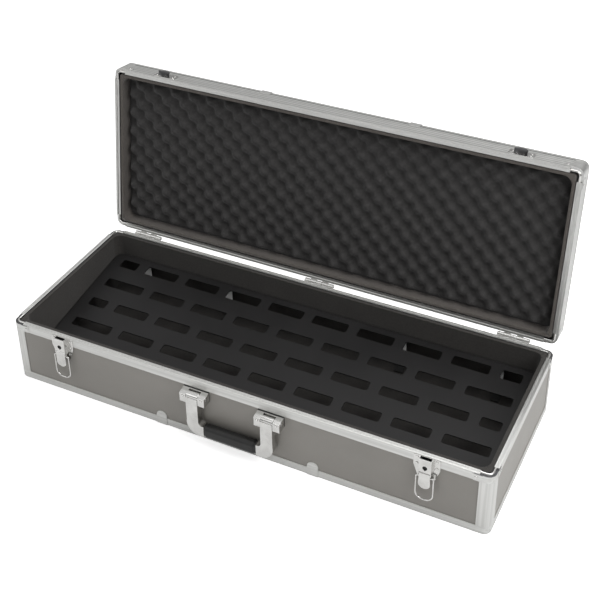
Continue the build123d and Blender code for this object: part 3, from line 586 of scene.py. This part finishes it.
def lid_foam():
    """The convoluted foam: a fine grid raised into staggered bumps, with its edge turned back."""
    low, high = shut_box("lid_foam")
    size = high - low
    centre = (high + low) / 2
    bm = bmesh.new()
    bmesh.ops.create_grid(
        bm, x_segments=int(size.x / foam_cell), y_segments=int(size.y / foam_cell), size=0.5
    )
    bmesh.ops.scale(bm, vec=(size.x, size.y, 1.0), verts=bm.verts)
    bmesh.ops.translate(bm, vec=(centre.x, centre.y, high.z), verts=bm.verts)
    for vertex in bm.verts:
        x, y, _ = vertex.co
        vertex.co.z = high.z - foam_height(x, y, low, high, size.z)
    rim = [edge for edge in bm.edges if edge.is_boundary]
    raised = bmesh.ops.extrude_edge_only(bm, edges=rim)["geom"]
    back = [item for item in raised if isinstance(item, bmesh.types.BMVert)]
    for vertex in back:
        vertex.co.z = high.z
    bmesh.ops.holes_fill(bm, edges=[edge for edge in bm.edges if edge.is_boundary], sides=0)
    bmesh.ops.recalc_face_normals(bm, faces=bm.faces)
    bmesh.ops.transform(bm, matrix=lid_turn(), verts=bm.verts)
    foam = new_object("lid_foam_bumps", bm, foam_material)
    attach(foam, "lid")
    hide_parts("lid_foam")


# --- finish every node ---------------------------------------------------------------------------
def finish_panels():
    """Panels of grey laminate with eased edges."""
    for node in [name for name in nodes if name.startswith("base_panel")] + ["lid_panel"]:
        eased(node, panel_edge, laminate)


def frame_with_shade_line(node, material):
    """A lid frame rail with a near-black band of painted shade along its top, where its edge strip shades it.
    """
    low, _ = shut_box("lid_panel")
    turn = lid_turn()
    shade_line_z = low.z - lid_shade_line_width
    cut = (turn @ Vector((0, 0, shade_line_z)), turn.to_3x3() @ Vector((0, 0, 1)))
    rail = eased(node, rail_edge, material, cuts=[cut])
    back = turn.inverted()
    # the band above the cut is painted near-black as shade
    second_finish(rail, deep_shade, lambda middle: (back @ middle).z > shade_line_z)


def finish_rails():
    """Rims, rails, posts and corners in drawn aluminium, the lines running with each rail."""
    across = lid_turn().to_3x3() @ Vector((0, 0, 1))
    ribbed = ribbed_aluminium("aluminium_ribbed", along["x"], across)
    for family in ("base_rim_", "base_rail_", "lid_frame_", "lid_edge_"):
        side_run = "z" if family.startswith("lid") else "y"
        for side, run in (("front", "x"), ("rear", "x"), ("left", side_run), ("right", side_run)):
            if family == "lid_frame_":
                frame_with_shade_line(family + side, ribbed if run == "x" else aluminium[run])
            else:
                eased(family + side, rail_edge, aluminium[run])
    eased("base_corner_posts", metal_edge, aluminium["z"])
    eased("base_bottom_corners", metal_edge, aluminium["x"])
    eased("lid_corners", metal_edge, aluminium["x"])


def finish_board_legs():
    """Rear legs painted near-white as painted light and black on their lower part as painted shade, and front
    legs of drawn aluminium.
    """
    leg_shade_cut = ((0, 0, leg_shade_top), (0, 0, 1))
    # the rear legs are painted near-white as painted light; the front legs below stay drawn aluminium
    legs = eased("board_legs_rear", metal_edge, leg_painted_light, cuts=[leg_shade_cut])
    # the lower part of the rear legs is painted black as shade
    second_finish(legs, rubber_and_leg_shade, lambda middle: middle.z < leg_shade_top)
    eased("board_legs_front", metal_edge, aluminium["z"])


def second_finish(piece, material, chosen):
    """Give the faces whose middle passes a test a second finish."""
    piece.data.materials.append(material)
    for polygon in piece.data.polygons:
        if chosen(polygon.center):
            polygon.material_index = len(piece.data.materials) - 1


def bead_cuts():
    """Planes at both edges of the band of painted shade below the bead of the base rim corners."""
    top = max(vertex.co.z for vertex in nodes["base_rim_corners"].data.vertices)
    heights = (top - bead_stand, top - bead_stand - bead_shade_width)
    return [((0, 0, height), (0, 0, 1)) for height in heights]


def brighten_beads():
    """Polish the round bead above the shoulder of each rim corner; the base has a thin dark grey band of
    painted shade below it.
    """
    base_caps = bpy.data.objects["base_rim_corners_finish"]
    base_top = max(vertex.co.z for vertex in base_caps.data.vertices)
    shoulder = base_top - bead_stand
    below_bead_shade = shoulder - bead_shade_width
    second_finish(base_caps, nickel, lambda middle: middle.z > shoulder)
    # a thin dark grey band just below the bead: painted shade
    second_finish(base_caps, shade_grey, lambda middle: below_bead_shade < middle.z < shoulder)
    lid_caps = bpy.data.objects["lid_rim_corners_finish"]
    back = lid_turn().inverted()
    lid_low = min((back @ vertex.co).z for vertex in lid_caps.data.vertices)
    second_finish(lid_caps, nickel, lambda middle: (back @ middle).z < lid_low + bead_stand)


def shade_latch_rooms():
    """Paint shade into the hollow inside of each latch box with a near-black finish."""
    for side in ("left", "right"):
        piece = bpy.data.objects["latch_body_" + side + "_finish"]
        centre_x = joints["lever_" + side + "_swing"]["pos_m"][0]
        axis_z = joints["lever_" + side + "_swing"]["pos_m"][2]
        front = min(vertex.co.y for vertex in piece.data.vertices)
        top = max(vertex.co.z for vertex in piece.data.vertices)

        def inside(middle):
            within = abs(middle.x - centre_x) < room_half + room_wall / 2
            deep = front + room_wall / 2 < middle.y < front + room_depth
            return within and deep and axis_z + 3 * room_wall < middle.z < top - room_wall / 4

        # the faces inside the hollow get the near-black painted shade
        second_finish(piece, deep_shade, inside)


def paint_shade_on_catches():
    """Paint shade on the catch of each lid strike in dark grey, standing in for its louvres; the riveted ends
    stay bright.
    """
    piece = bpy.data.objects["lid_strikes_finish"]
    back = lid_turn().inverted()
    places = [joints["lever_" + side + "_swing"]["pos_m"][0] for side in ("left", "right")]
    wall_y = max((back @ vertex.co).y for vertex in piece.data.vertices)

    def on_catch(middle):
        shut = back @ middle
        return min(abs(shut.x - x) for x in places) < catch_half and shut.y < wall_y - catch_stand

    # the catch is painted dark grey, as the shade of its louvres
    second_finish(piece, shade_grey, on_catch)


def finish_hardware():
    """Nickel hardware, satin clips and corner caps, steel pins and black locks."""
    plated = [name for name, slot in slot_of.items() if slot == "plated"]
    for node in plated:
        satin = node.endswith("clips") or node.endswith("rim_corners")
        cuts = bead_cuts() if node == "base_rim_corners" else ()
        eased(node, metal_edge, aluminium["x"] if satin else nickel, cuts=cuts)
    brighten_beads()
    for node in [name for name, slot in slot_of.items() if slot == "steel"]:
        eased(node, pin_edge, lock_black if node.startswith("lock") else steel)
    shade_latch_rooms()
    paint_shade_on_catches()


def finish_linings():
    """Felt linings with rounded edges."""
    for node in ("base_liner_front", "base_liner_rear", "base_liner_left", "base_liner_right"):
        eased(node, felt_edge, base_felt, segments=3)
    eased("base_floor_liner", floor_felt_edge, base_felt)
    eased("lid_liner", felt_edge, lid_felt, segments=3)


def finish_board_and_grip():
    """The black board, the grip and the gaskets."""
    eased("pedal_board", board_edge, coat)
    eased("handle_grip", grip_edge, grip_material, segments=3)
    eased("handle_gaskets", gasket_edge, rubber_and_leg_shade)


# --- stage ---------------------------------------------------------------------------------------
def floor_material():
    """A pale floor that shows white to the camera and keeps the soft shadow."""
    material, made, shader = blank_material("pale_floor", 0.9)
    shader.inputs["Base Color"].default_value = (0.82, 0.82, 0.82, 1.0)
    shader.inputs["Specular IOR Level"].default_value = 0.1
    path = made.add("ShaderNodeLightPath")
    mirrored = made.maths("MULTIPLY", path.outputs["Is Glossy Ray"], floor_in_metal)
    seen = made.maths("MULTIPLY", path.outputs["Is Camera Ray"], floor_to_camera)
    shader.inputs["Emission Color"].default_value = (1.0, 1.0, 1.0, 1.0)
    made.link(made.maths("ADD", seen, mirrored), shader.inputs["Emission Strength"])
    return material


def build_stage():
    """A wide floor, a studio that metal mirrors brighter above, and three soft lamps."""
    bm = bmesh.new()
    bmesh.ops.create_grid(bm, x_segments=1, y_segments=1, size=floor_half)
    bmesh.ops.translate(bm, vec=(0, 0, -floor_drop), verts=bm.verts)
    floor = new_object("floor", bm, floor_material())

    world = bpy.data.worlds.new("studio")
    world.use_nodes = True
    bpy.context.scene.world = world
    made = Nodes(world.node_tree)
    background = world.node_tree.nodes["Background"]
    background.inputs["Color"].default_value = (1.0, 1.0, 1.0, 1.0)
    path = made.add("ShaderNodeLightPath")
    split = made.add("ShaderNodeSeparateXYZ")
    made.link(made.add("ShaderNodeTexCoord").outputs["Generated"], split.inputs["Vector"])
    in_metal = made.ramp(
        split.outputs["Z"],
        studio_rise_from,
        studio_rise_to,
        studio_in_metal_low,
        studio_in_metal_high,
    )
    more_in_metal = made.maths("SUBTRACT", in_metal, studio_light)
    reflected = made.maths("MULTIPLY", path.outputs["Is Glossy Ray"], more_in_metal)
    seen = made.maths("MULTIPLY", path.outputs["Is Camera Ray"], studio_to_camera)
    strength = made.maths("ADD", made.maths("ADD", reflected, seen), studio_light)
    made.link(strength, background.inputs["Strength"])

    # each lamp's place, size and power in watts: from the right, from above, from the front left
    lamps = [
        ("key", (2.4, -0.6, 2.4), 1.8, 56),
        ("top", (0.2, 0.8, 3.0), 2.2, 44),
        ("fill", (-1.9, -2.4, 1.7), 1.8, 9),
    ]
    for name, place, size, power in lamps:
        data = bpy.data.lights.new(name, "AREA")
        data.shape = "SQUARE"
        data.size = size
        data.energy = power
        lamp = bpy.data.objects.new(name, data)
        bpy.context.scene.collection.objects.link(lamp)
        lamp.location = place
        lamp.rotation_euler = (Vector(lamp_target) - Vector(place)).to_track_quat("-Z", "Y").to_euler()


def build_camera():
    """The camera at the photograph's place and angle."""
    yaw = radians(camera_yaw)
    pitch = radians(camera_pitch)
    roll = radians(camera_roll)
    ahead = Vector((-sin(yaw) * cos(pitch), cos(yaw) * cos(pitch), sin(pitch)))
    right = Vector((cos(yaw), sin(yaw), 0))
    up = right.cross(ahead)
    turned_right = right * cos(roll) + up * sin(roll)
    turned_up = up * cos(roll) - right * sin(roll)
    matrix = Matrix((turned_right, turned_up, -ahead)).transposed().to_4x4()
    matrix.translation = camera_place
    data = bpy.data.cameras.new("camera")
    data.lens = camera_lens
    data.sensor_width = camera_sensor
    data.shift_y = camera_shift
    camera = bpy.data.objects.new("camera", data)
    bpy.context.scene.collection.objects.link(camera)
    camera.matrix_world = matrix
    bpy.context.scene.camera = camera


finish_panels()
finish_rails()
finish_board_legs()
finish_hardware()
finish_linings()
finish_board_and_grip()
lid_foam()
build_stage()
build_camera()
bpy.context.scene.view_settings.view_transform = "Standard"
